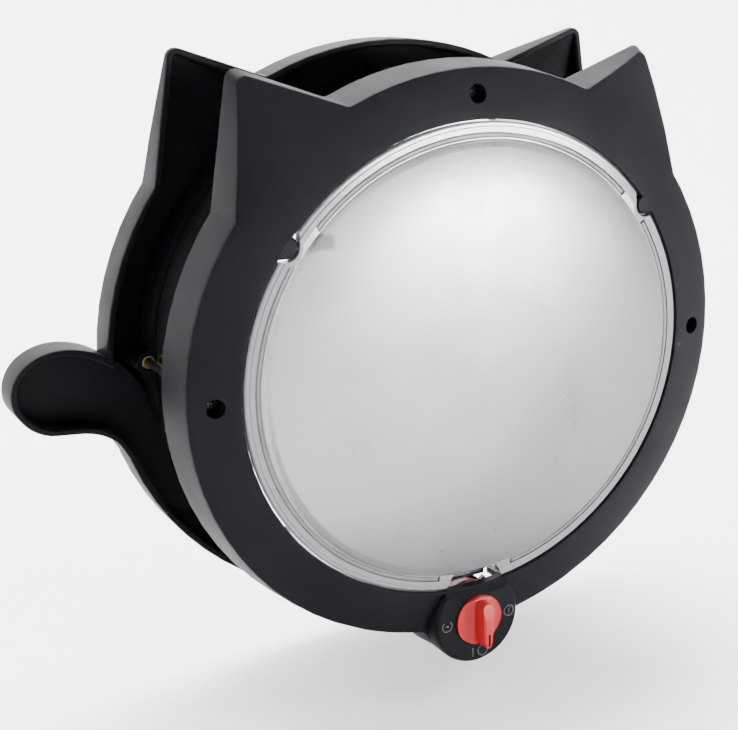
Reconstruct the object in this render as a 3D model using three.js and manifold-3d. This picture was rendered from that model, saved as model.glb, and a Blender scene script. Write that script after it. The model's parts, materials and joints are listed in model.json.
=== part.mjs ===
// Cat flap in the shape of a cat's face: an indoor frame with a rotary lock, an outdoor frame with a
// tail, a tunnel through the door between them, and a frosted flap that swings both ways.
// Millimetres. X runs across the opening, Y through the door towards outdoors, Z up.
// The origin is on the tunnel's axis at mid-thickness of the door.
import * as THREE from 'three';
import { mergeVertices } from 'three/addons/utils/BufferGeometryUtils.js';
import Module from 'manifold-3d';

const wasm = await Module();
wasm.setup();

// ---- driving dimensions -------------------------------------------------------------------
const FLATTEN = 0.95;             // height of every oval over its width
const DOOR = 46.5;                // door thickness the frames clamp
const HALF_WIDTH = 125;           // half width of the indoor frame's round part
const FRAME_DRAFT = 1.016;        // indoor frame is this much larger where it meets the door
const REAR_SCALE = 1.055;         // outdoor frame over indoor frame
const APERTURE = 103.8;           // half width of the opening the flap closes
const BORE = 109.5;               // half width inside the tunnel
const LINER_WALL = 1.6;
const COLLAR_POCKET = 111.5;      // half width of the pocket that takes the liner
const COLLAR_OUTER = 113.6;
const WALL = 3;
const SKIN = 2.8;

const Y_DOOR_IN = -DOOR / 2;      // indoor face of the door
const Y_DOOR_OUT = DOOR / 2;      // outdoor face of the door
const Y_FACE_EDGE = -42.85;       // indoor frame's face at its round outer edge
const Y_LIP = -47.35;             // indoor frame's face at the aperture, its proudest line
const Y_LIP_BACK = -42;
const Y_LINER_START = -32.1;
const LINER_LENGTH = 65.6;
const Y_REAR_EDGE = 38.9;         // outdoor frame's face at its round outer edge
const FACE_RISE = 4.5;            // how far the face domes up from outer edge to opening
const DOME_LINEAR = 0.1283;
const DOME_SQUARE = 0.00396;

const EAR_TIP = [94.06, 120.8];   // sharp corner of an ear before rounding
const EAR_VALLEY = 25.83;         // degrees from the top where an ear's inner side starts
const EAR_BASE = 54.9;            // degrees from the top where an ear's outer side starts
const EAR_TIP_RADIUS = 4;
const EAR_CORNER_RADIUS = 3;

const LOCK_Z = -112.6;            // height of the lock's axis
const LOBE_RADIUS = 20.3;         // rounded chin that carries the lock
const LOBE_BLEND = 11;
const Y_BOSS = -50.05;            // front of the raised disc under the knob
const LOCK_BORE = 4.3;
const LOCK_CAVITY = 17.6;
const Y_LOCK_CAVITY = -42.95;
const SLOT_HALF = 21;             // half width of the slot in the tunnel floor above the lock

const SCREW_REACH = 114.14;       // oval half width the three mounting screws sit on
const SCREW_RECESS = 3.8;
const SCREW_SHANK = 1.7;
const Y_SCREW_SEAT = -37.5;

const HINGE_Y = -44.2;
const HINGE_Z = 57.5;
const LUG_RADIUS = 4.6;
const LUG_INNER = 79.1;
const PIN_RADIUS = 1.1;

const FLAP = 103;                 // half width of the flap
const Y_FLAP_FRONT = -46.95;
const Y_FLAP_BACK = -43.45;
const FLAP_STEP = 1.5;            // domed pane stands this far above the flap's rim
const FLAP_BULGE = 6;
const PANE = 95.8;                // half width of the domed pane
const RIM_STEP = 101.2;           // half width where the rim steps down to its lip
const PANE_THICKNESS = 2.4;
const CHANNEL_IN = 96.3;
const CHANNEL_OUT = 98.8;
const Y_CHANNEL = -46.05;
const SEAL_SPANS = [[43.5, 136.5], [147.5, 259], [281, 392.5]];  // degrees around the oval

// ---- colours ------------------------------------------------------------------------------
const COLOURS = {
  frame_plastic: [0x232326, 0.55, 0],
  liner_plastic: [0x151517, 0.25, 0],
  frosted_pane: [0xb9b9bf, 0.45, 0],
  seal_rubber: [0x9a9aa0, 0.5, 0],
  lock_red: [0xd71e23, 0.3, 0],
  cam_red: [0x8c1014, 0.4, 0],
  steel: [0x8a8a8c, 0.35, 1],
  black_steel: [0x2b2b2d, 0.4, 1],
  brass: [0xb08d4a, 0.35, 1],
  nylon: [0xd8d6cf, 0.5, 0],
  magnet: [0x4a5258, 0.4, 1],
};

// ---- solid helpers ------------------------------------------------------------------------
function toSolid(geometry) {
  let g = geometry.clone();
  g.deleteAttribute('normal');
  g.deleteAttribute('uv');
  g = mergeVertices(g, 1e-4);
  const vertProperties = new Float32Array(g.attributes.position.array);
  const triVerts = new Uint32Array(g.index.array);
  return new wasm.Manifold(new wasm.Mesh({ numProp: 3, vertProperties, triVerts }));
}

function toGeometry(solid) {
  const mesh = solid.getMesh();
  const g = new THREE.BufferGeometry();
  g.setAttribute('position', new THREE.BufferAttribute(new Float32Array(mesh.vertProperties), 3));
  g.setIndex(new THREE.BufferAttribute(new Uint32Array(mesh.triVerts), 1));
  return g;
}

function indexed(points, triangles) {
  const g = new THREE.BufferGeometry();
  g.setAttribute('position', new THREE.Float32BufferAttribute(points.flat(), 3));
  let volume = 0;
  for (const [a, b, c] of triangles) {
    const p = new THREE.Vector3(...points[a]);
    volume += p.dot(new THREE.Vector3(...points[b]).cross(new THREE.Vector3(...points[c])));
  }
  g.setIndex((volume < 0 ? triangles.map(([a, b, c]) => [a, c, b]) : triangles).flat());
  return g;
}

function bands(loops, wrap) {
  const n = loops[0].length;
  const triangles = [];
  const last = wrap ? loops.length : loops.length - 1;
  for (let k = 0; k < last; k += 1) {
    const next = (k + 1) % loops.length;
    for (let i = 0; i < n; i += 1) {
      const j = (i + 1) % n;
      triangles.push([k * n + i, k * n + j, next * n + j]);
      triangles.push([k * n + i, next * n + j, next * n + i]);
    }
  }
  return triangles;
}

// a closed ring whose section is the loop list
function ringLoft(loops) {
  return toSolid(indexed(loops.flat(), bands(loops, true)));
}

// a closed body whose two ends are capped from their middle
function stackLoft(loops) {
  const n = loops[0].length;
  const points = loops.flat();
  const triangles = bands(loops, false);
  for (const [k, flip] of [[0, true], [loops.length - 1, false]]) {
    const middle = [0, 1, 2].map((axis) => loops[k].reduce((sum, p) => sum + p[axis], 0) / n);
    points.push(middle);
    const m = points.length - 1;
    for (let i = 0; i < n; i += 1) {
      const a = k * n + i;
      const b = k * n + ((i + 1) % n);
      triangles.push(flip ? [b, a, m] : [a, b, m]);
    }
  }
  return toSolid(indexed(points, triangles));
}

function box(x0, x1, y0, y1, z0, z1) {
  const g = new THREE.BoxGeometry(x1 - x0, y1 - y0, z1 - z0);
  g.translate((x0 + x1) / 2, (y0 + y1) / 2, (z0 + z1) / 2);
  return toSolid(g);
}

// a turned solid about a line along Y through (x, z); profile is [radius, y] from axis to axis
function turned(profile, x = 0, z = 0, segments = 32, squash = 1) {
  const g = new THREE.LatheGeometry(profile.map(([r, y]) => new THREE.Vector2(r, y)), segments);
  g.scale(1, 1, squash);
  g.translate(x, 0, z);
  const solid = toSolid(g);
  return solid.volume() > 0 ? solid : toSolid(flipped(g));
}

function flipped(geometry) {
  const g = geometry.clone();
  const index = Array.from(g.index.array);
  for (let i = 0; i < index.length; i += 3) {
    [index[i + 1], index[i + 2]] = [index[i + 2], index[i + 1]];
  }
  g.setIndex(index);
  return g;
}

function rod(radius, y0, y1, x = 0, z = 0, segments = 32) {
  return turned([[0, y0], [radius, y0], [radius, y1], [0, y1]], x, z, segments);
}

function ovalPlug(half, y0, y1, segments = 96) {
  return turned([[0, y0], [half, y0], [half, y1], [0, y1]], 0, 0, segments, FLATTEN);
}

// a turned solid about a line along X through (y, z); profile is [radius, x]
function crossTurned(profile, y, z, segments = 24) {
  const g = new THREE.LatheGeometry(profile.map(([r, x]) => new THREE.Vector2(r, x)), segments);
  g.rotateZ(-Math.PI / 2);
  g.translate(0, y, z);
  const solid = toSolid(g);
  return solid.volume() > 0 ? solid : toSolid(flipped(g));
}

function mirrorX(points) {
  return points.map(([x, z]) => [-x, z]).reverse();
}

// ---- outlines -----------------------------------------------------------------------------
const radians = THREE.MathUtils.degToRad;

function onOval(half, degreesFromTop) {
  const t = radians(degreesFromTop);
  return [half * Math.sin(t), half * FLATTEN * Math.cos(t)];
}

function spread(x, z) {
  return Math.hypot(x, z / FLATTEN);
}

// replaces a corner by an arc of the given radius
function rounded(before, corner, after, radius, steps) {
  const a = new THREE.Vector2(before[0] - corner[0], before[1] - corner[1]).normalize();
  const b = new THREE.Vector2(after[0] - corner[0], after[1] - corner[1]).normalize();
  const half = Math.acos(THREE.MathUtils.clamp(a.dot(b), -1, 1)) / 2;
  const reach = radius / Math.tan(half);
  const bisector = a.clone().add(b).normalize();
  const centre = bisector.multiplyScalar(radius / Math.sin(half));
  const start = a.clone().multiplyScalar(reach).sub(centre);
  const turn = Math.PI - 2 * half;
  const sign = a.x * b.y - a.y * b.x > 0 ? -1 : 1;
  const points = [];
  for (let i = 0; i <= steps; i += 1) {
    const p = start.clone().rotateAround(new THREE.Vector2(), (sign * turn * i) / steps);
    points.push([corner[0] + centre.x + p.x, corner[1] + centre.y + p.y]);
  }
  return points;
}

function lobeReach(fromBottom) {
  const side = LOCK_Z * Math.sin(fromBottom);
  const inside = LOBE_RADIUS * LOBE_RADIUS - side * side;
  const ring = HALF_WIDTH / Math.hypot(Math.sin(fromBottom), Math.cos(fromBottom) / FLATTEN);
  const far = -LOCK_Z * Math.cos(fromBottom) + Math.sqrt(Math.max(inside, 0));
  const blend = Math.max(LOBE_BLEND - Math.abs(far - ring), 0) / LOBE_BLEND;
  return Math.max(far, ring) + blend * blend * LOBE_BLEND * 0.25;
}

// the cat's face, counter-clockwise seen from indoors, one half built and mirrored
function faceOutline(withLobe) {
  const half = [];
  const ringTo = (from, to, steps) => {
    for (let i = 0; i <= steps; i += 1) {
      half.push(onOval(HALF_WIDTH, from + ((to - from) * i) / steps));
    }
  };
  if (withLobe) {
    for (let i = 0; i <= 20; i += 1) {
      const t = radians(i * 1.25);
      const r = lobeReach(t);
      half.push([r * Math.sin(t), -r * Math.cos(t)]);
    }
    ringTo(149, EAR_BASE + 4, 17);
  } else {
    ringTo(180, EAR_BASE + 4, 24);
  }
  const base = onOval(HALF_WIDTH, EAR_BASE);
  const valley = onOval(HALF_WIDTH, EAR_VALLEY);
  half.push(...rounded(onOval(HALF_WIDTH, EAR_BASE + 3), base, EAR_TIP, EAR_CORNER_RADIUS, 2));
  const lerp = (a, b, t) => [a[0] + (b[0] - a[0]) * t, a[1] + (b[1] - a[1]) * t];
  half.push(lerp(base, EAR_TIP, 0.35), lerp(base, EAR_TIP, 0.68));
  half.push(...rounded(base, EAR_TIP, valley, EAR_TIP_RADIUS, 5));
  half.push(lerp(EAR_TIP, valley, 0.38), lerp(EAR_TIP, valley, 0.7));
  half.push(...rounded(EAR_TIP, valley, onOval(HALF_WIDTH, EAR_VALLEY - 3), EAR_CORNER_RADIUS, 2));
  ringTo(EAR_VALLEY - 5, 0, 5);
  const left = mirrorX(half).slice(1, -1);
  return half.concat(left);
}

// moves every point of a closed outline inwards along its own corner
function inset(outline, distance) {
  const n = outline.length;
  return outline.map((p, i) => {
    const before = outline[(i + n - 1) % n];
    const after = outline[(i + 1) % n];
    const a = new THREE.Vector2(p[0] - before[0], p[1] - before[1]).normalize();
    const b = new THREE.Vector2(after[0] - p[0], after[1] - p[1]).normalize();
    const normal = new THREE.Vector2(-(a.y + b.y), a.x + b.x).normalize();
    const stretch = Math.min(1 / Math.max(normal.dot(new THREE.Vector2(-b.y, b.x)), 0.5), 1.6);
    return [p[0] + normal.x * distance * stretch, p[1] + normal.y * distance * stretch];
  });
}

function scaled(outline, factor) {
  return outline.map(([x, z]) => [x * factor, z * factor]);
}

// the same directions as an outline, on an oval
function ovalLike(outline, half) {
  return outline.map(([x, z]) => {
    const s = half / spread(x, z);
    return [x * s, z * s];
  });
}

function between(a, b, t) {
  return a.map((p, i) => [p[0] + (b[i][0] - p[0]) * t, p[1] + (b[i][1] - p[1]) * t]);
}

function lift(outline, y) {
  return outline.map(([x, z]) => [x, typeof y === 'function' ? y(spread(x, z)) : y, z]);
}

function rise(u) {
  return DOME_LINEAR * u + DOME_SQUARE * u * u;
}

const faceY = (reach) => Y_LIP + rise(Math.max(reach - APERTURE, 0));
const rearY = (reach) => {
  const domed = Y_REAR_EDGE + FACE_RISE - rise(Math.max(reach / REAR_SCALE - APERTURE, 0));
  return Math.max(domed, Y_DOOR_OUT + 4.5);
};

// ---- indoor frame -------------------------------------------------------------------------
const SCREW_SPOTS = [[0, SCREW_REACH * FLATTEN], [-SCREW_REACH, 0], [SCREW_REACH, 0]];

function indoorShell() {
  const outer = faceOutline(true);
  const back = scaled(outer, FRAME_DRAFT);
  const shoulder = inset(outer, 1.3);
  const inner = ovalLike(outer, APERTURE + 1.2);
  return ringLoft([
    lift(inset(back, 0.6), Y_DOOR_IN),
    lift(back, Y_DOOR_IN - 0.6),
    lift(outer, (r) => faceY(r) + 1.3),
    lift(inset(outer, 0.4), (r) => faceY(r) + 0.35),
    lift(shoulder, faceY),
    lift(between(shoulder, inner, 0.2), faceY),
    lift(between(shoulder, inner, 0.45), faceY),
    lift(between(shoulder, inner, 0.75), faceY),
    lift(inner, faceY),
    lift(ovalLike(outer, APERTURE + 0.35), Y_LIP + 0.3),
    lift(ovalLike(outer, APERTURE), Y_LIP + 1.2),
    lift(ovalLike(outer, APERTURE), Y_LIP_BACK),
    lift(ovalLike(outer, BORE), Y_LIP_BACK),
    lift(ovalLike(outer, BORE), Y_LINER_START - 0.4),
    lift(ovalLike(outer, COLLAR_POCKET), Y_LINER_START - 0.4),
    lift(ovalLike(outer, COLLAR_POCKET), Y_DOOR_IN - 1.2),
    lift(ovalLike(outer, COLLAR_OUTER), Y_DOOR_IN - 1.2),
    lift(ovalLike(outer, COLLAR_OUTER), (r) => faceY(r) + SKIN + 0.3),
    lift(inset(outer, WALL), (r) => faceY(r) + SKIN),
    lift(inset(back, WALL), Y_DOOR_IN),
  ]);
}

// the space in front of the domed face, outside the opening
function beforeFace() {
  const edge = APERTURE + 1.2;
  return turned(
    [[edge, -60], [edge + 26, -60], [edge + 26, faceY(edge + 26) + 1], [edge + 12, faceY(edge + 12) + 1],
      [edge, faceY(edge) + 1], [edge, -60]],
    0,
    0,
    120,
    FLATTEN,
  );
}

function lugs() {
  const outside = beforeFace().add(box(-120, 120, -60, Y_LIP, 40, 75));
  const parts = [];
  for (const side of [-1, 1]) {
    const profile = [
      [0, side * LUG_INNER],
      [LUG_RADIUS - 3.5, side * LUG_INNER],
      [LUG_RADIUS - 1.6, side * (LUG_INNER + 0.5)],
      [LUG_RADIUS - 0.5, side * (LUG_INNER + 1.7)],
      [LUG_RADIUS, side * (LUG_INNER + 3.5)],
      [LUG_RADIUS, side * 92.5],
      [0, side * 92.5],
    ];
    parts.push(crossTurned(profile, HINGE_Y, HINGE_Z).subtract(outside));
  }
  return parts;
}

function lockBoss() {
  const r = LOBE_RADIUS + 0.2;
  const disc = turned(
    [[0, Y_BOSS], [r - 2, Y_BOSS], [r - 1, Y_BOSS + 0.3], [r - 0.3, Y_BOSS + 1.1], [r, Y_BOSS + 2.2],
      [r + 0.15, -33], [0, -33]],
    0,
    LOCK_Z,
    48,
  );
  const ramp = turned(
    [[0, -60], [APERTURE + 13.4, -60], [APERTURE + 0.8, Y_LIP], [APERTURE + 0.8, -47], [APERTURE, -46.5],
      [APERTURE, Y_LIP_BACK], [BORE, Y_LIP_BACK], [BORE, -30], [0, -30]],
    0,
    0,
    120,
    FLATTEN,
  );
  return disc.subtract(ramp);
}

function indoorFrame() {
  let frame = indoorShell();
  const linerRoom = ovalPlug(COLLAR_POCKET, Y_LINER_START - 0.4, 0);
  const apertureRoom = ovalPlug(APERTURE, -60, -30);
  for (const [x, z] of SCREW_SPOTS) {
    frame = frame.add(rod(6, -44, -30, x, z, 24).subtract(linerRoom).subtract(apertureRoom));
  }
  for (const lug of lugs()) frame = frame.add(lug);
  frame = frame.add(lockBoss());
  for (const [x, z] of SCREW_SPOTS) {
    frame = frame.subtract(rod(SCREW_RECESS, -60, Y_SCREW_SEAT, x, z, 24));
    frame = frame.subtract(rod(SCREW_SHANK + 0.4, -60, -20, x, z, 16));
  }
  frame = frame.subtract(rod(LOCK_CAVITY, Y_LOCK_CAVITY, -20, 0, LOCK_Z, 40));
  frame = frame.subtract(box(-SLOT_HALF, SLOT_HALF, Y_LOCK_CAVITY, -20, -111, -96));
  frame = frame.subtract(rod(LOCK_BORE, -60, -30, 0, LOCK_Z, 24));
  frame = frame.subtract(rod(6.6, -44.6, -40, 0, LOCK_Z, 24));
  frame = frame.subtract(box(-8.3, 8.3, -46.1, -42, -104.6, -99.6));
  for (const side of [-1, 1]) {
    frame = frame.subtract(
      crossTurned(
        [[0, side * 70], [1.35, side * 70], [1.35, side * 91], [0, side * 91]], HINGE_Y, HINGE_Z, 16,
      ),
    );
  }
  return frame;
}

// ---- outdoor frame ------------------------------------------------------------------------
const TAIL_LINE = [
  [-122, -3], [-127, 1.6], [-132, 4.8], [-138.1, 8.2], [-146.4, 10.6], [-154.6, 10.8], [-162, 8.6],
  [-168.2, 4], [-171.8, -3], [-172, -10], [-169, -16], [-164.6, -20.8], [-158, -24.2],
  [-149.7, -25.2], [-141.4, -26.2], [-135.5, -28.2], [-130, -32], [-126, -38], [-121.5, -46],
  [-115.5, -56], [-108, -66], [-100, -72], [-92.5, -71], [-92, -64], [-97.5, -54], [-102, -43],
  [-105.5, -31], [-110, -20], [-115.5, -11],
];

function smooth(points, steps) {
  const places = points.map(([x, z]) => new THREE.Vector3(x, 0, z));
  const curve = new THREE.CatmullRomCurve3(places, true, 'centripetal');
  return curve.getPoints(steps).slice(0, -1).map((p) => [p.x, p.z]);
}

// triangles that fill an outline, turning the same way as the outline itself
function fill(outline) {
  const contour = outline.map(([x, z]) => new THREE.Vector2(x, z));
  const faces = THREE.ShapeUtils.triangulateShape(contour, []);
  const area = faces.reduce((sum, face) => sum + THREE.ShapeUtils.area(face.map((i) => contour[i])), 0);
  const sameWay = area * THREE.ShapeUtils.area(contour) > 0;
  return sameWay ? faces : faces.map(([a, b, c]) => [b, a, c]);
}

// a flat-ended solid from [outline, y] levels that share one point count
function cappedLoft(levels) {
  const n = levels[0][0].length;
  const shift = n * (levels.length - 1);
  const points = levels.flatMap(([outline, y]) => lift(outline, y));
  const triangles = bands(levels.map(([outline]) => outline), false);
  for (const [a, b, c] of fill(levels[0][0])) triangles.push([b, a, c]);
  for (const [a, b, c] of fill(levels[levels.length - 1][0])) {
    triangles.push([a + shift, b + shift, c + shift]);
  }
  return toSolid(indexed(points, triangles));
}

function flatSolid(outline, y0, y1) {
  return cappedLoft([[outline, y0], [outline, y1]]);
}

function outdoorShell() {
  const outer = scaled(faceOutline(false), REAR_SCALE);
  const shoulder = inset(outer, 1.3);
  const opening = ovalLike(outer, BORE + 1.2);
  const floor = (r) => Math.max(rearY(r) - SKIN, Y_DOOR_OUT + 1.6);
  return ringLoft([
    lift(inset(outer, 1), Y_DOOR_OUT),
    lift(inset(outer, 0.3), Y_DOOR_OUT + 0.3),
    lift(outer, Y_DOOR_OUT + 1),
    lift(outer, (r) => rearY(r) - 1.3),
    lift(inset(outer, 0.4), (r) => rearY(r) - 0.35),
    lift(shoulder, rearY),
    lift(between(shoulder, opening, 0.2), rearY),
    lift(between(shoulder, opening, 0.45), rearY),
    lift(between(shoulder, opening, 0.75), rearY),
    lift(opening, rearY),
    lift(ovalLike(outer, BORE), (r) => rearY(r) - 1.2),
    lift(ovalLike(outer, BORE), Y_LINER_START + LINER_LENGTH + 0.4),
    lift(ovalLike(outer, COLLAR_POCKET), Y_LINER_START + LINER_LENGTH + 0.4),
    lift(ovalLike(outer, COLLAR_POCKET), Y_DOOR_OUT + 1.2),
    lift(ovalLike(outer, COLLAR_OUTER), Y_DOOR_OUT + 1.2),
    lift(ovalLike(outer, COLLAR_OUTER), floor),
    lift(inset(outer, WALL), floor),
    lift(inset(outer, WALL), Y_DOOR_OUT + 0.8),
    lift(inset(outer, WALL - 0.8), Y_DOOR_OUT),
  ]);
}

function outdoorFrame() {
  const tail = smooth(TAIL_LINE, 84);
  const hollow = inset(tail, WALL);
  const tailBody = cappedLoft([
    [inset(tail, 1), Y_DOOR_OUT],
    [inset(tail, 0.3), Y_DOOR_OUT + 0.3],
    [tail, Y_DOOR_OUT + 1],
    [tail, Y_REAR_EDGE - 1.3],
    [inset(tail, 0.4), Y_REAR_EDGE - 0.35],
    [inset(tail, 1.3), Y_REAR_EDGE],
  ]);
  const floorY = Y_REAR_EDGE - 4.4;
  const tailHollow = cappedLoft([
    [inset(tail, WALL - 1), Y_DOOR_OUT - 1],
    [inset(tail, WALL - 0.8), Y_DOOR_OUT],
    [hollow, Y_DOOR_OUT + 0.8],
    [hollow, floorY - 0.4],
    [inset(hollow, 0.25), floorY],
  ]);
  const round = ovalLike(faceOutline(false), (HALF_WIDTH * REAR_SCALE) - WALL);
  const insideRing = flatSolid(round, Y_DOOR_OUT - 2, floorY);
  const behindFloor = flatSolid(round, floorY + 2.2, 60);
  let frame = outdoorShell().subtract(tailHollow);
  frame = frame.add(tailBody.subtract(tailHollow).subtract(insideRing).subtract(behindFloor));
  for (const [x, z] of SCREW_SPOTS) {
    const room = ovalPlug(COLLAR_POCKET, 0, Y_LINER_START + LINER_LENGTH + 0.4);
    frame = frame.add(rod(5.2, Y_DOOR_OUT + 0.8, Y_REAR_EDGE, x, z, 24).subtract(room));
  }
  for (const [x, z] of SCREW_SPOTS) {
    frame = frame.subtract(rod(3, Y_DOOR_OUT - 2, 35.2, x, z, 16));
  }
  return frame;
}

// ---- tunnel liner -------------------------------------------------------------------------
function tunnelLiner() {
  const end = Y_LINER_START + LINER_LENGTH;
  const tube = ovalPlug(BORE + LINER_WALL, Y_LINER_START, end, 120)
    .subtract(ovalPlug(BORE, Y_LINER_START - 5, end + 5, 120));
  return tube.subtract(box(-SLOT_HALF, SLOT_HALF, Y_LINER_START - 5, -25, -120, -60));
}

// ---- flap ---------------------------------------------------------------------------------
const STRIKE_SCREWS = [-6.5, 6.5];
const STRIKE_SCREW_Z = -84.6;

function ovalLoop(half, y, count) {
  const loop = [];
  for (let i = 0; i < count; i += 1) {
    const t = (2 * Math.PI * i) / count;
    loop.push([half * Math.cos(t), y, half * FLATTEN * Math.sin(t)]);
  }
  return loop;
}

// a bar that follows the oval between two angles; section is a closed list of [half width, y]
function ovalBar(section, from, to, steps) {
  const loops = [];
  for (let i = 0; i <= steps; i += 1) {
    const t = radians(from + ((to - from) * i) / steps);
    loops.push(section.map(([half, y]) => [half * Math.cos(t), y, half * FLATTEN * Math.sin(t)]));
  }
  return stackLoft(loops);
}

function flapPane() {
  const top = Y_FLAP_FRONT - FLAP_STEP - FLAP_BULGE;
  const domed = (r) => top + FLAP_BULGE * (0.55 * (r / PANE) ** 2 + 0.45 * (r / PANE) ** 6);
  const edge = PANE - 1.3;
  const front = [8, 36, 60, 78, 88, edge].map((r) => [r, domed(r)]);
  const rim = [
    [PANE - 0.3, domed(edge) + 0.5],
    [PANE + 0.2, Y_FLAP_FRONT - 0.4],
    [RIM_STEP - 0.3, Y_FLAP_FRONT - 0.4],
    [RIM_STEP, Y_FLAP_FRONT],
    [FLAP - 0.6, Y_FLAP_FRONT],
    [FLAP, Y_FLAP_FRONT + 0.6],
    [FLAP, Y_FLAP_BACK - 0.5],
    [FLAP - 0.5, Y_FLAP_BACK],
    [PANE - 1, Y_FLAP_BACK],
  ];
  const behind = [[PANE - 3.5, domed(PANE - 3.5) + PANE_THICKNESS]];
  for (const r of [80, 60, 34, 8]) behind.push([r, domed(r) + PANE_THICKNESS]);
  return stackLoft([...front, ...rim, ...behind].map(([r, y]) => ovalLoop(r, y, 96)));
}

function flapPanel() {
  let flap = flapPane();
  for (const side of [-1, 1]) {
    const eye = crossTurned(
      [[0, side * 64], [3.1, side * 64], [3.1, side * 77.9], [0, side * 77.9]], HINGE_Y, HINGE_Z,
    ).subtract(box(-100, 100, -60, Y_FLAP_FRONT + 0.4, 40, 70));
    flap = flap.add(eye);
  }
  for (const [from, to] of SEAL_SPANS) {
    const section = [
      [CHANNEL_IN, -49], [CHANNEL_OUT, -49], [CHANNEL_OUT, Y_CHANNEL], [CHANNEL_IN, Y_CHANNEL],
    ];
    flap = flap.subtract(ovalBar(section, from - 0.6, to + 0.6, 40));
  }
  for (const side of [-1, 1]) {
    flap = flap.subtract(rod(5.5, -60, -30, side * 84, HINGE_Z + 0.1, 28));
    const x0 = Math.min(side * 78.5, side * 96);
    flap = flap.subtract(box(x0, x0 + 17.5, -60, -30, HINGE_Z + 0.1, 65));
    const x1 = Math.min(side * 83.8, side * 96);
    flap = flap.subtract(box(x1, x1 + 12.2, -60, -30, HINGE_Z - 5.2, 65));
    flap = flap.subtract(
      crossTurned(
        [[0, side * 66.5], [1.95, side * 66.5], [1.95, side * 95], [0, side * 95]], HINGE_Y, HINGE_Z, 16,
      ),
    );
  }
  const notch = [
    [15.6, -97], [14, -96.5], [12.8, -95.2], [12.1, -93], [11.2, -91.2], [9.6, -90.3],
  ];
  const outline = [[18, -99.5], ...notch, ...mirrorX(notch), [-18, -99.5]];
  flap = flap.subtract(flatSolid(outline, -60, -30));
  for (const x of STRIKE_SCREWS) {
    flap = flap.add(rod(2.7, -48.3, -42.2, x, STRIKE_SCREW_Z, 16));
    flap = flap.subtract(rod(1.25, -46.2, -40, x, STRIKE_SCREW_Z, 12));
  }
  return flap;
}

function sealStrip(from, to) {
  const a = CHANNEL_IN + 0.3;
  const b = CHANNEL_OUT - 0.3;
  const floor = Y_CHANNEL - 0.3;
  const section = [
    [a, floor], [a, floor - 0.7], [a + 0.5, floor - 1], [b - 0.5, floor - 1], [b, floor - 0.7], [b, floor],
  ];
  return ovalBar(section, from, to, 40);
}

function hingePin(side) {
  const a = side * 68;
  const b = side * 90.6;
  return crossTurned([[0, a], [PIN_RADIUS - 0.3, a], [PIN_RADIUS, a + side * 0.4], [PIN_RADIUS, b], [0, b]],
    HINGE_Y, HINGE_Z, 16);
}

function hingeBush(side) {
  const outer = crossTurned([[0, side * 68.8], [1.72, side * 68.8], [1.72, side * 78.2], [0, side * 78.2]],
    HINGE_Y, HINGE_Z, 20);
  const hole = crossTurned(
    [[0, side * 60], [1.35, side * 60], [1.35, side * 90], [0, side * 90]], HINGE_Y, HINGE_Z, 20,
  );
  return outer.subtract(hole);
}

// ---- strike and magnets -------------------------------------------------------------------
const STRIKE = { half: 9.5, front: -39.55, back: -35.55, bottom: -97.6, top: -81 };

function flapStrike() {
  let strike = box(-STRIKE.half, STRIKE.half, STRIKE.front, STRIKE.back, STRIKE.bottom, STRIKE.top);
  strike = strike.add(box(-STRIKE.half, STRIKE.half, -41.9, STRIKE.front + 0.5, -89.4, STRIKE.top));
  strike = strike.subtract(box(-7.8, 7.8, -41, -36.7, -96.7, -90.6));
  for (const x of STRIKE_SCREWS) strike = strike.subtract(rod(1.45, -50, -30, x, STRIKE_SCREW_Z, 16));
  for (const x of STRIKE_SCREWS) strike = strike.subtract(rod(2.9, -37.8, -30, x, STRIKE_SCREW_Z, 20));
  return strike;
}

function strikeScrew(x) {
  return turned(
    [[0, -45.6], [0.6, -45.6], [0.95, -44.8], [0.95, -37.5], [2.5, -37.5], [2.5, -36.6], [1.7, -35.9],
      [0, -35.9]],
    x,
    STRIKE_SCREW_Z,
    20,
  );
}

// ---- lock ---------------------------------------------------------------------------------
const DIAL_RADIUS = 11;
const GRIP_HALF = 2.7;            // half width of the plate the fingers hold
const CAM = { front: -42.55, back: -32.15, disc: 14.2, fin: 17, spread: 38, plate: 2, gap: 0.3, drum: 12.8 };

function wedge(radius, centreDegrees, halfDegrees, y0, y1) {
  const outline = [[0, LOCK_Z]];
  for (let i = 0; i <= 12; i += 1) {
    const t = radians(centreDegrees - halfDegrees + (2 * halfDegrees * i) / 12);
    outline.push([radius * Math.cos(t), LOCK_Z + radius * Math.sin(t)]);
  }
  return flatSolid(outline, y0, y1);
}

function keyedShaft(radius, flat, y0, y1) {
  const round = rod(radius, y0, y1, 0, LOCK_Z, 32);
  return round.intersect(box(-flat, flat, y0 - 1, y1 + 1, LOCK_Z - 10, LOCK_Z + 10));
}

function gripOutline(shrink) {
  const points = [];
  const wide = GRIP_HALF - shrink;
  const tip = 1.5 - shrink * 0.4;
  const topZ = LOCK_Z + 9.9 - shrink;
  const endZ = LOCK_Z - 10.6 + shrink * 0.6;
  for (let i = 0; i <= 8; i += 1) {
    const t = (Math.PI * i) / 8;
    points.push([wide * Math.cos(t), topZ - wide + wide * Math.sin(t)]);
  }
  points.push([-wide, LOCK_Z + 2], [-wide + 0.1, LOCK_Z - 3], [-tip - 0.5, LOCK_Z - 6.8], [-tip, endZ + 1.2]);
  for (let i = 0; i <= 4; i += 1) {
    const t = Math.PI + (Math.PI * i) / 4;
    points.push([tip * Math.cos(t), endZ + tip + tip * Math.sin(t) * 0.9]);
  }
  points.push([tip, endZ + 1.4], [tip + 0.5, LOCK_Z - 6.8], [wide - 0.1, LOCK_Z - 3], [wide, LOCK_Z + 2]);
  return points;
}

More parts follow.
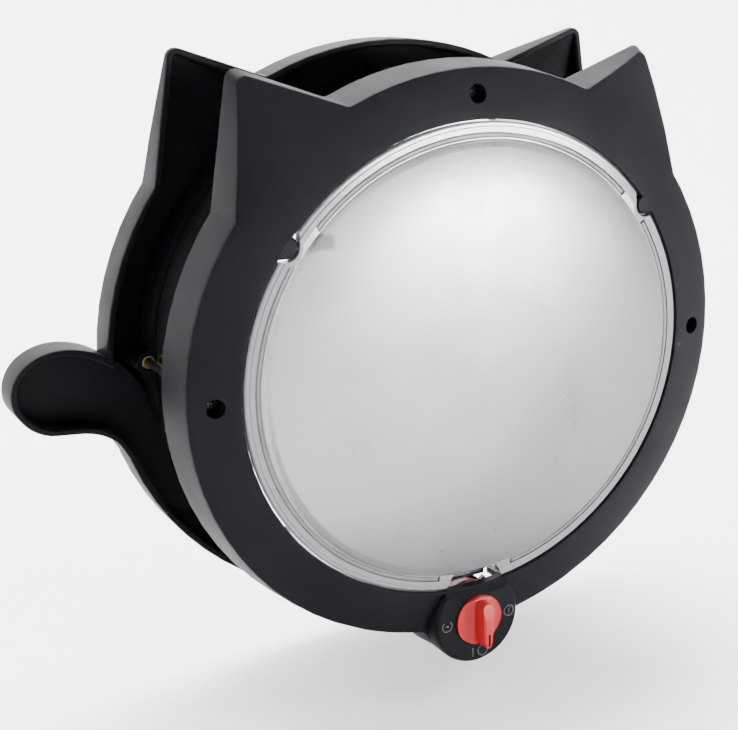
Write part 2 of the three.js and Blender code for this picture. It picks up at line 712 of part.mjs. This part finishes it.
function lockKnob() {
  const faceBack = Y_BOSS - 0.3;
  const dial = turned(
    [[0, faceBack], [DIAL_RADIUS, faceBack], [DIAL_RADIUS, faceBack - 1.2],
      [DIAL_RADIUS - 0.4, faceBack - 1.9], [DIAL_RADIUS - 1.2, faceBack - 2.3], [0, faceBack - 2.3]],
    0,
    LOCK_Z,
    48,
  );
  const body = cappedLoft([
    [gripOutline(0), faceBack - 1],
    [gripOutline(0), faceBack - 7.4],
    [gripOutline(0.25), faceBack - 8.3],
    [gripOutline(0.9), faceBack - 8.9],
  ]);
  let knob = dial;
  for (const side of [-1, 1]) {
    const scoop = new THREE.CylinderGeometry(9, 9, 60, 40);
    scoop.rotateX(Math.PI / 2);
    scoop.translate(side * 8.4, faceBack - 9.7, LOCK_Z);
    knob = knob.subtract(toSolid(scoop));
  }
  const slope = new THREE.BoxGeometry(30, 8, 40);
  slope.translate(0, -4, 0);
  slope.rotateX(-0.21);
  slope.translate(0, faceBack - 8.9, LOCK_Z + 3);
  knob = knob.add(body.subtract(toSolid(slope)));
  knob = knob.subtract(box(-0.5, 0.5, faceBack - 12, faceBack - 4.9, LOCK_Z - 9.3, LOCK_Z - 3.8));
  knob = knob.add(rod(4, faceBack - 0.5, -42.9, 0, LOCK_Z, 32));
  knob = knob.add(keyedShaft(3.5, 2.6, -43.4, -32.4));
  return knob.subtract(rod(1.45, -41, -30, 0, LOCK_Z, 16));
}

const keyway = () => keyedShaft(3.8, 2.9, -50, -25);

// a round plate with one wider fin that blocks the flap's strike
function camPlate(finDegrees, y0, y1) {
  const disc = rod(CAM.disc, y0, y1, 0, LOCK_Z, 40);
  return disc.add(wedge(CAM.fin, finDegrees, CAM.spread, y0, y1)).subtract(keyway());
}

function camDrum() {
  const y0 = CAM.front + CAM.plate + CAM.gap;
  const y1 = CAM.back - CAM.plate - CAM.gap;
  return rod(CAM.drum, y0, y1, 0, LOCK_Z, 40).subtract(keyway());
}

function lockSpring() {
  const outer = [];
  const count = 48;
  for (const [r, dy] of [[4.5, 0], [6.2, 0], [6.2, 0.35], [4.5, 0.35]]) {
    const loop = [];
    for (let i = 0; i < count; i += 1) {
      const t = (2 * Math.PI * i) / count;
      loop.push([r * Math.cos(t), -43.9 + 0.35 * Math.sin(3 * t) + dy, LOCK_Z + r * Math.sin(t)]);
    }
    outer.push(loop);
  }
  return ringLoft(outer);
}

function ringWasher(inner, outer, y0, y1, x, z) {
  return rod(outer, y0, y1, x, z, 24).subtract(rod(inner, y0 - 1, y1 + 1, x, z, 24));
}

function lockScrew() {
  return turned(
    [[0, -40.4], [0.7, -40.4], [1.2, -39.6], [1.2, -30.8], [3, -30.8], [3, -29.6], [2, -28.8], [0, -28.8]],
    0,
    LOCK_Z,
    24,
  );
}

// ---- mounting hardware --------------------------------------------------------------------
function mountingScrew(x, z) {
  const seat = Y_SCREW_SEAT - 0.3;
  return turned(
    [[0, seat - 2.4], [1.4, seat - 2.3], [2.7, seat - 1.75], [3.35, seat - 0.85], [3.45, seat],
      [SCREW_SHANK, seat], [SCREW_SHANK, 31.6], [1, 33], [0, 33]],
    x,
    z,
    20,
  );
}

function threadedInsert(x, z) {
  return ringWasher(SCREW_SHANK + 0.3, 2.7, 24.4, 34.6, x, z);
}

// ---- assembly -----------------------------------------------------------------------------
const group = new THREE.Group();
group.name = 'cat_flap';

function piece(name, solid, colour) {
  const [hex, roughness, metalness] = COLOURS[colour];
  const material = new THREE.MeshStandardMaterial({ color: hex, roughness, metalness });
  material.name = colour;
  const mesh = new THREE.Mesh(toGeometry(solid), material);
  mesh.name = name;
  group.add(mesh);
}

piece('indoor_frame', indoorFrame(), 'frame_plastic');
piece('outdoor_frame', outdoorFrame(), 'frame_plastic');
piece('tunnel_liner', tunnelLiner(), 'liner_plastic');
piece('flap_panel', flapPanel(), 'frosted_pane');
['top', 'left', 'right'].forEach((side, i) => {
  piece(`flap_seal_${side}`, sealStrip(...SEAL_SPANS[i]), 'seal_rubber');
});
for (const [name, side] of [['left', -1], ['right', 1]]) {
  piece(`hinge_pin_${name}`, hingePin(side), 'steel');
  piece(`hinge_bush_${name}`, hingeBush(side), 'nylon');
}
piece('flap_strike', flapStrike(), 'liner_plastic');
piece('flap_magnet', box(-7.5, 7.5, -39.6, -37, -96.4, -90.9), 'magnet');
piece('strike_screw_left', strikeScrew(STRIKE_SCREWS[0]), 'steel');
piece('strike_screw_right', strikeScrew(STRIKE_SCREWS[1]), 'steel');
piece('frame_magnet', box(-8, 8, -45.8, -43.3, -104.3, -99.9), 'magnet');
piece('lock_knob', lockKnob(), 'lock_red');
piece('lock_plate_indoor', camPlate(180, CAM.front, CAM.front + CAM.plate), 'cam_red');
piece('lock_drum', camDrum(), 'cam_red');
piece('lock_plate_outdoor', camPlate(0, CAM.back - CAM.plate, CAM.back), 'cam_red');
piece('lock_spring', lockSpring(), 'steel');
piece('lock_washer', ringWasher(1.5, 4.6, -31.85, -31.1, 0, LOCK_Z), 'steel');
piece('lock_screw', lockScrew(), 'steel');
['top', 'left', 'right'].forEach((side, i) => {
  piece(`mounting_screw_${side}`, mountingScrew(...SCREW_SPOTS[i]), 'black_steel');
  piece(`threaded_insert_${side}`, threadedInsert(...SCREW_SPOTS[i]), 'brass');
});

export default group;
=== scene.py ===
"""Looks of the cat flap: an edge-softened skin on every CAD node, driver recesses and lock marks."""

import json
import math

import bmesh
import bpy
from mathutils import Matrix, Vector

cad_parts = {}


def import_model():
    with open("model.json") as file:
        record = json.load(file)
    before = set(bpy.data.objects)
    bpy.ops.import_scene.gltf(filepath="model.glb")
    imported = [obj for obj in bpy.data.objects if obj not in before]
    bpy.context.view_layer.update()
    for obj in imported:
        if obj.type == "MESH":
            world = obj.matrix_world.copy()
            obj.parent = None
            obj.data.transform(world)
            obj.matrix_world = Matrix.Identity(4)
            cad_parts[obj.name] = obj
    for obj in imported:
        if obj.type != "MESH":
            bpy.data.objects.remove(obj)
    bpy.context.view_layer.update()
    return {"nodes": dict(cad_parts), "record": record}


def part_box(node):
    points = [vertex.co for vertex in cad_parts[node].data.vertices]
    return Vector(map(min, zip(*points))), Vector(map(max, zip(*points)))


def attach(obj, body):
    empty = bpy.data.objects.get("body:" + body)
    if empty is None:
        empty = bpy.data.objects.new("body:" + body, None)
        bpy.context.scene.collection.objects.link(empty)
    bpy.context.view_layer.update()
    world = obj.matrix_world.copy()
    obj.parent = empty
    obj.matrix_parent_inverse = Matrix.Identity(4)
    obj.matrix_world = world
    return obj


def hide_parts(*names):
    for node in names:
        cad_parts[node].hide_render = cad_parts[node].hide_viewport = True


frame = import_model()

MM = 0.001

# places on the object, in millimetres
LOCK_Z = -112.6
BOSS_Y = -50.05
SCREW_HEAD_Y = -40.2

# places on the flap, in metres, as its material reads them
FLATTEN = 0.95
RIM_START = 0.0986
NOTCH_X, NOTCH_Z, NOTCH_BEAD = 0.0862, 0.0572, 0.0088
RIM_FADE = 0.0004

# the middle part of a noise texture's range, stretched over the whole of a look
NOISE_LOW, NOISE_HIGH = 0.3, 0.7
GRAIN_DEPTH = 0.0001


# ---- node material helpers ------------------------------------------------------------------
def new_material(name):
    mat = bpy.data.materials.new(name)
    mat.use_nodes = True
    nodes = mat.node_tree.nodes
    nodes.clear()
    out = nodes.new("ShaderNodeOutputMaterial")
    shader = nodes.new("ShaderNodeBsdfPrincipled")
    mat.node_tree.links.new(shader.outputs["BSDF"], out.inputs["Surface"])
    return mat, shader


def noise(mat, scale, detail=3.0, stretch=(1, 1, 1)):
    nodes, links = mat.node_tree.nodes, mat.node_tree.links
    coords = nodes.new("ShaderNodeTexCoord")
    mapping = nodes.new("ShaderNodeMapping")
    mapping.inputs["Scale"].default_value = stretch
    texture = nodes.new("ShaderNodeTexNoise")
    texture.inputs["Scale"].default_value = scale
    texture.inputs["Detail"].default_value = detail
    links.new(coords.outputs["Object"], mapping.inputs["Vector"])
    links.new(mapping.outputs["Vector"], texture.inputs["Vector"])
    return texture.outputs["Fac"]


def ramp(mat, factor, dark, light):
    node = mat.node_tree.nodes.new("ShaderNodeValToRGB")
    node.color_ramp.elements[0].position = NOISE_LOW
    node.color_ramp.elements[1].position = NOISE_HIGH
    node.color_ramp.elements[0].color = (*dark, 1)
    node.color_ramp.elements[1].color = (*light, 1)
    mat.node_tree.links.new(factor, node.inputs["Fac"])
    return node.outputs["Color"]


def spread(mat, factor, low, high):
    node = mat.node_tree.nodes.new("ShaderNodeMapRange")
    node.inputs["From Min"].default_value = NOISE_LOW
    node.inputs["From Max"].default_value = NOISE_HIGH
    node.inputs["To Min"].default_value = low
    node.inputs["To Max"].default_value = high
    mat.node_tree.links.new(factor, node.inputs["Value"])
    return node.outputs["Result"]


def surface(name, dark, light, rough, grain, bump=0.0, stretch=(1, 1, 1), **sockets):
    """A shader whose colour and roughness drift slowly, with a fine bumpy grain."""
    mat, shader = new_material(name)
    links = mat.node_tree.links
    drift = noise(mat, 24, 2.0)
    links.new(ramp(mat, drift, dark, light), shader.inputs["Base Color"])
    links.new(spread(mat, noise(mat, 60, 4.0, stretch), *rough), shader.inputs["Roughness"])
    if bump:
        node = mat.node_tree.nodes.new("ShaderNodeBump")
        node.inputs["Strength"].default_value = bump
        node.inputs["Distance"].default_value = GRAIN_DEPTH
        links.new(noise(mat, grain, 2.0, stretch), node.inputs["Height"])
        links.new(node.outputs["Normal"], shader.inputs["Normal"])
    for socket, value in sockets.items():
        shader.inputs[socket.replace("_", " ")].default_value = value
    return mat


PLASTIC = surface(
    "satin_black", (0.0022, 0.0023, 0.0032), (0.004, 0.0042, 0.0056), (0.44, 0.54), 2600, 0.4,
    Specular_IOR_Level=0.05,
)
GLOSS = surface("gloss_black", (0.003, 0.003, 0.004), (0.006, 0.006, 0.007), (0.16, 0.26), 500, 0.05)


def pane_material():
    """Frosted, see-through plastic in the pane; plain glossy grey in the rim and round the hinge notches."""
    mat, shader = new_material("frosted_pane")
    nodes, links = mat.node_tree.nodes, mat.node_tree.links

    def maths(operation, a, b=None):
        node = nodes.new("ShaderNodeMath")
        node.operation = operation
        for socket, value in zip(node.inputs, (a, b)):
            if isinstance(value, (int, float)):
                socket.default_value = value
            elif value is not None:
                links.new(value, socket)
        return node.outputs["Value"]

    def step(value, low, high, start=0.0, end=1.0):
        node = nodes.new("ShaderNodeMapRange")
        node.interpolation_type = "SMOOTHSTEP"
        for name, number in (("From Min", low), ("From Max", high), ("To Min", start), ("To Max", end)):
            node.inputs[name].default_value = number
        links.new(value, node.inputs["Value"])
        return node.outputs["Result"]

    def length(a, b):
        return maths("SQRT", maths("ADD", maths("MULTIPLY", a, a), maths("MULTIPLY", b, b)))

    coords = nodes.new("ShaderNodeTexCoord")
    split = nodes.new("ShaderNodeSeparateXYZ")
    links.new(coords.outputs["Object"], split.inputs["Vector"])
    x, z = split.outputs["X"], split.outputs["Z"]
    reach = length(x, maths("DIVIDE", z, FLATTEN))
    notch = length(maths("SUBTRACT", maths("ABSOLUTE", x), NOTCH_X), maths("SUBTRACT", z, NOTCH_Z))
    past_pane = step(reach, RIM_START - RIM_FADE, RIM_START + RIM_FADE)
    near_notch = step(notch, NOTCH_BEAD - RIM_FADE, NOTCH_BEAD + RIM_FADE, 1.0, 0.0)
    rim = maths("MAXIMUM", past_pane, near_notch)
    blend = nodes.new("ShaderNodeMix")
    blend.data_type = "RGBA"
    links.new(rim, blend.inputs["Factor"])
    milk = ramp(mat, noise(mat, 30, 2.0), (0.25, 0.254, 0.266), (0.28, 0.284, 0.296))
    links.new(milk, blend.inputs["A"])
    blend.inputs["B"].default_value = (0.11, 0.112, 0.12, 1)
    links.new(blend.outputs["Result"], shader.inputs["Base Color"])
    cloud = spread(mat, noise(mat, 60, 3.0), 0.0, 0.05)
    links.new(maths("ADD", step(rim, 0, 1, 0.27, 0.1), cloud), shader.inputs["Roughness"])
    links.new(step(rim, 0, 1, 0.93, 0.0), shader.inputs["Transmission Weight"])
    links.new(step(rim, 0, 1, 0.36, 0.0), shader.inputs["Metallic"])
    shader.inputs["IOR"].default_value = 1.49
    grain = nodes.new("ShaderNodeBump")
    grain.inputs["Strength"].default_value = 0.1
    grain.inputs["Distance"].default_value = GRAIN_DEPTH
    links.new(noise(mat, 2600, 2.0), grain.inputs["Height"])
    links.new(grain.outputs["Normal"], shader.inputs["Normal"])
    return mat


FROST = pane_material()
SEAL = surface("seal_rubber", (0.05, 0.05, 0.055), (0.08, 0.08, 0.086), (0.35, 0.5), 1800, 0.2)
RED = surface(
    "lock_red", (0.22, 0.0004, 0.0015), (0.27, 0.0008, 0.0025), (0.4, 0.5), 1500, 0.08,
    Specular_IOR_Level=0.3,
)
# the lock cam's red, about a third as bright as the knob's: painted shade for the shadow the cam sits in
# behind the flap
SHADED_CAM_RED = surface("cam_red", (0.075, 0.001, 0.002), (0.11, 0.002, 0.003), (0.3, 0.42), 1500, 0.1)
TURNED = (1, 12, 1)
STEEL = surface(
    "steel", (0.50, 0.50, 0.51), (0.62, 0.62, 0.63), (0.22, 0.36), 900, 0.1, TURNED, Metallic=1.0
)
DARK_STEEL = surface(
    "black_steel", (0.02, 0.02, 0.022), (0.04, 0.04, 0.043), (0.25, 0.38), 900, 0.1, Metallic=0.8
)
BRASS = surface(
    "brass", (0.55, 0.38, 0.15), (0.66, 0.47, 0.2), (0.22, 0.34), 900, 0.1, TURNED, Metallic=1.0
)
NYLON = surface("nylon", (0.68, 0.67, 0.62), (0.76, 0.75, 0.7), (0.4, 0.5), 1500, 0.1)
MAGNET = surface("magnet", (0.12, 0.13, 0.15), (0.2, 0.21, 0.23), (0.2, 0.32), 1200, 0.1, Metallic=1.0)
LOOKS = {
    "frame_plastic": PLASTIC,
    "liner_plastic": GLOSS,
    "frosted_pane": FROST,
    "seal_rubber": SEAL,
    "lock_red": RED,
    "cam_red": SHADED_CAM_RED,
    "steel": STEEL,
    "black_steel": DARK_STEEL,
    "brass": BRASS,
    "nylon": NYLON,
    "magnet": MAGNET,
}
SLOT_OF = {s["node"]: s["material_slot"] for s in frame["record"]["subparts"]}
BODY_OF = {n: b for b, ns in frame["record"]["behaviour"]["bodies"].items() for n in ns}


# ---- mesh helpers ---------------------------------------------------------------------------
HARD_EDGE = 35  # degrees between two faces, above which the edge between them counts as hard
MERGE_DISTANCE = 2e-6
FLAT_ANGLE = math.radians(0.4)


def add_object(name, bm):
    mesh = bpy.data.meshes.new(name)
    bm.to_mesh(mesh)
    bm.free()
    obj = bpy.data.objects.new(name, mesh)
    bpy.context.scene.collection.objects.link(obj)
    return obj


def soften(obj, width, angle=HARD_EDGE):
    """Rounds the hard edges, then shades the rest smooth."""
    obj.data.shade_smooth()
    obj.data.set_sharp_from_angle(angle=math.radians(angle))
    bevel = obj.modifiers.new("edges", "BEVEL")
    bevel.width = width * MM
    bevel.segments = 2
    bevel.limit_method = "ANGLE"
    bevel.angle_limit = math.radians(angle)
    bevel.use_clamp_overlap = True
    normals = obj.modifiers.new("normals", "WEIGHTED_NORMAL")
    normals.keep_sharp = True
    normals.weight = 60


def node_mesh(node):
    bm = bmesh.new()
    bm.from_mesh(frame["nodes"][node].data)
    bmesh.ops.remove_doubles(bm, verts=bm.verts, dist=MERGE_DISTANCE)
    bmesh.ops.dissolve_limit(bm, angle_limit=FLAT_ANGLE, verts=bm.verts, edges=bm.edges)
    return bm


def cutter(name, bm):
    """A solid used only to cut others; it isn't shown."""
    obj = add_object(name, bm)
    obj.hide_render = True
    obj.hide_viewport = True
    return obj


def cut(obj, tool):
    modifier = obj.modifiers.new("cut", "BOOLEAN")
    modifier.operation = "DIFFERENCE"
    modifier.solver = "EXACT"
    modifier.object = tool


def skin(node, width, angle, tools):
    """A softened copy of a CAD node that stands in for it."""
    obj = add_object(f"{node}_skin", node_mesh(node))
    obj.data.materials.clear()
    obj.data.materials.append(LOOKS[SLOT_OF[node]])
    for tool in tools:
        cut(obj, tool)
    soften(obj, width, angle)
    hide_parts(node)
    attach(obj, BODY_OF[node])
    return obj


def prism(outline, y0, y1):
    """A solid with a closed (x, z) outline in millimetres, running along Y."""
    bm = bmesh.new()
    loops = [[bm.verts.new((x * MM, y * MM, z * MM)) for x, z in outline] for y in (y0, y1)]
    bm.faces.new(loops[0])
    bm.faces.new(list(reversed(loops[1])))
    count = len(outline)
    for i in range(count):
        j = (i + 1) % count
        bm.faces.new((loops[0][j], loops[0][i], loops[1][i], loops[1][j]))
    bmesh.ops.recalc_face_normals(bm, faces=bm.faces)
    return bm


def arc(radius, centre, start, end, steps):
    points = []
    for i in range(steps + 1):
        t = math.radians(start + (end - start) * i / steps)
        points.append((centre[0] + radius * math.cos(t), centre[1] + radius * math.sin(t)))
    return points


RING_STEPS = 40


def ring(centre, inner, outer, y0, y1, opening=0.0):
    """A flat ring, or an open C with an opening of that many degrees at the top."""
    start, end = 90 + opening / 2, 450 - opening / 2
    if opening:
        outline = arc(outer, centre, start, end, RING_STEPS) + arc(inner, centre, end, start, RING_STEPS)
        return prism(outline, y0, y1)
    bm = bmesh.new()
    loops = []
    for radius, y in ((outer, y0), (outer, y1), (inner, y1), (inner, y0)):
        points = arc(radius, centre, 0, 360, RING_STEPS)[:-1]
        loops.append([bm.verts.new((x * MM, y * MM, z * MM)) for x, z in points])
    for a, b in zip(loops, loops[1:] + loops[:1]):
        for i in range(RING_STEPS):
            j = (i + 1) % RING_STEPS
            bm.faces.new((a[i], a[j], b[j], b[i]))
    bmesh.ops.recalc_face_normals(bm, faces=bm.faces)
    return bm


# ---- skins ----------------------------------------------------------------------------------
def cross_recess(node, depth=1.4, arm=1.6, half=0.4):
    """The cross-shaped driver recess of a screw's head, as a cutter."""
    low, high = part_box(node)
    x = (low.x + high.x) / 2 / MM
    z = (low.z + high.z) / 2 / MM
    outline = [
        (half, arm), (-half, arm), (-half, half), (-arm, half), (-arm, -half), (-half, -half),
        (-half, -arm), (half, -arm), (half, -half), (arm, -half), (arm, half), (half, half),
    ]
    places = [(x + px, z + pz) for px, pz in outline]
    return cutter("recess", prism(places, SCREW_HEAD_Y - 1, SCREW_HEAD_Y + depth))


# edge rounding in millimetres and the angle above which an edge counts as hard
EDGES = {
    "indoor_frame": (0.4, 32),
    "outdoor_frame": (0.4, 32),
    "tunnel_liner": (0.25, 35),
    "flap_panel": (0.2, 38),
    "flap_strike": (0.25, 35),
    "lock_knob": (0.35, 30),
    "lock_plate_indoor": (0.2, 32),
    "lock_plate_outdoor": (0.2, 32),
}
for node in SLOT_OF:
    width, angle = EDGES.get(node, (0.1, HARD_EDGE))
    tools = []
    if node.startswith("mounting_screw"):
        tools.append(cross_recess(node))
    skin(node, width, angle, tools)


# ---- lock marks -----------------------------------------------------------------------------
# small generic shapes round the knob, raised a little from the boss
MARK_Y = (BOSS_Y - 0.3, BOSS_Y + 0.1)
MARK_REACH = 15.6
LOW_MARK_Z = LOCK_Z - 15.4


def mark(name, bm):
    obj = add_object(name, bm)
    obj.data.materials.append(GLOSS)
    soften(obj, 0.06)
    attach(obj, "frame")


def mark_ring(name, x, z, opening=0.0):
    mark(name, ring((x, z), 2.0, 2.7, *MARK_Y, opening))


def mark_bar(name, x, z, half_width, half_height):
    outline = [(x - half_width, z - half_height), (x + half_width, z - half_height),
               (x + half_width, z + half_height), (x - half_width, z + half_height)]
    mark(name, prism(outline, *MARK_Y))


mark_ring("lock_mark_left", -MARK_REACH, LOCK_Z, 70)
mark_bar("lock_mark_left_bar", -MARK_REACH, LOCK_Z, 0.9, 0.35)
mark_ring("lock_mark_right", MARK_REACH, LOCK_Z)
mark_bar("lock_mark_right_bar", MARK_REACH, LOCK_Z, 0.35, 1.1)
mark_ring("lock_mark_bottom", 2.4, LOW_MARK_Z)
mark_bar("lock_mark_bottom_bar", -2.6, LOW_MARK_Z, 0.4, 2)


# ---- floor, light and camera ----------------------------------------------------------------
def backdrop():
    """A pale round floor that sweeps up into a wall on every side of the object."""
    centre_y, inner_radius, floor_radius, sweep, wall_top, count = -0.6, 0.7, 1.5, 0.8, 3.4, 72
    floor_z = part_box("indoor_frame")[0].z - 0.012
    profile = [(inner_radius, floor_z), (floor_radius, floor_z)]
    for i in range(1, 13):
        t = math.radians(90 * i / 12)
        profile.append((floor_radius + sweep * math.sin(t), floor_z + sweep * (1 - math.cos(t))))
    profile.append((floor_radius + sweep, wall_top))
    bm = bmesh.new()
    turns = [math.tau * i / count for i in range(count)]
    loops = []
    for radius, z in profile:
        places = [(radius * math.cos(t), centre_y + radius * math.sin(t), z) for t in turns]
        loops.append([bm.verts.new(place) for place in places])
    bm.faces.new(loops[0])
    for low, high in zip(loops, loops[1:]):
        for i in range(count):
            j = (i + 1) % count
            bm.faces.new((low[i], high[i], high[j], low[j]))
    obj = add_object("backdrop", bm)
    obj.data.shade_smooth()
    obj.data.materials.append(
        surface("paper", (0.86, 0.86, 0.865), (0.88, 0.88, 0.885), (0.7, 0.8), 800, 0.02)
    )


def area_light(name, place, target, width, height, watts):
    data = bpy.data.lights.new(name, "AREA")
    data.shape = "RECTANGLE"
    data.size, data.size_y = width, height
    data.energy = watts
    obj = bpy.data.objects.new(name, data)
    obj.location = place
    obj.rotation_euler = (Vector(target) - Vector(place)).to_track_quat("-Z", "Y").to_euler()
    bpy.context.scene.collection.objects.link(obj)


def world():
    """A dim surround, a little brighter towards the back; the lamps do nearly all the lighting."""
    made = bpy.data.worlds.new("studio")
    bpy.context.scene.world = made
    made.use_nodes = True
    nodes, links = made.node_tree.nodes, made.node_tree.links
    coords = nodes.new("ShaderNodeTexCoord")
    split = nodes.new("ShaderNodeSeparateXYZ")
    level = nodes.new("ShaderNodeMapRange")
    level.inputs["From Min"].default_value = -0.55
    level.inputs["From Max"].default_value = 0.5
    level.inputs["To Min"].default_value = 0.24
    level.inputs["To Max"].default_value = 2.0
    links.new(coords.outputs["Generated"], split.inputs["Vector"])
    links.new(split.outputs["Y"], level.inputs["Value"])
    links.new(level.outputs["Result"], nodes["Background"].inputs["Strength"])


AZIMUTH, ELEVATION, ROLL = -0.501029, 0.294592, -0.011355
OFFSET = (0.041871, 0.001318, 0.582593)
FRAME_ORIGIN_SHIFT = Vector((0, -0.04285, 0))
LENS = 69.57


def camera():
    """The view the object is shown from: left of the front and above it, angles in radians."""
    ca, sa, ce, se = math.cos(AZIMUTH), math.sin(AZIMUTH), math.cos(ELEVATION), math.sin(ELEVATION)
    right = Vector((ca, sa, 0))
    back = Vector((sa * ce, -ca * ce, se))
    up = back.cross(right)
    spin = Matrix.Rotation(ROLL, 3, back)
    right, up = spin @ right, spin @ up
    place = -(right * OFFSET[0] + up * OFFSET[1]) + back * OFFSET[2] + FRAME_ORIGIN_SHIFT
    data = bpy.data.cameras.new("view")
    data.lens = LENS
    data.sensor_width = 36
    obj = bpy.data.objects.new("view", data)
    obj.matrix_world = Matrix.Translation(place) @ Matrix((right, up, back)).transposed().to_4x4()
    bpy.context.scene.collection.objects.link(obj)
    bpy.context.scene.camera = obj


backdrop()
area_light("pane_glow", (0.62, -1.04, 0.0), (0.0, -0.045, 0.05), 0.34, 0.22, 24)
area_light("top_right", (0.9, -0.7, 1.2), (0.05, 0, 0.05), 0.5, 0.5, 10)
area_light("left_wall", (-1.4, 0.1, 0.5), (0, 0, 0), 0.6, 0.9, 10)
area_light("backdrop_fill", (0.2, 0.9, 2.4), (0.1, 1.3, 0), 2.2, 1.2, 290)
world()
camera()
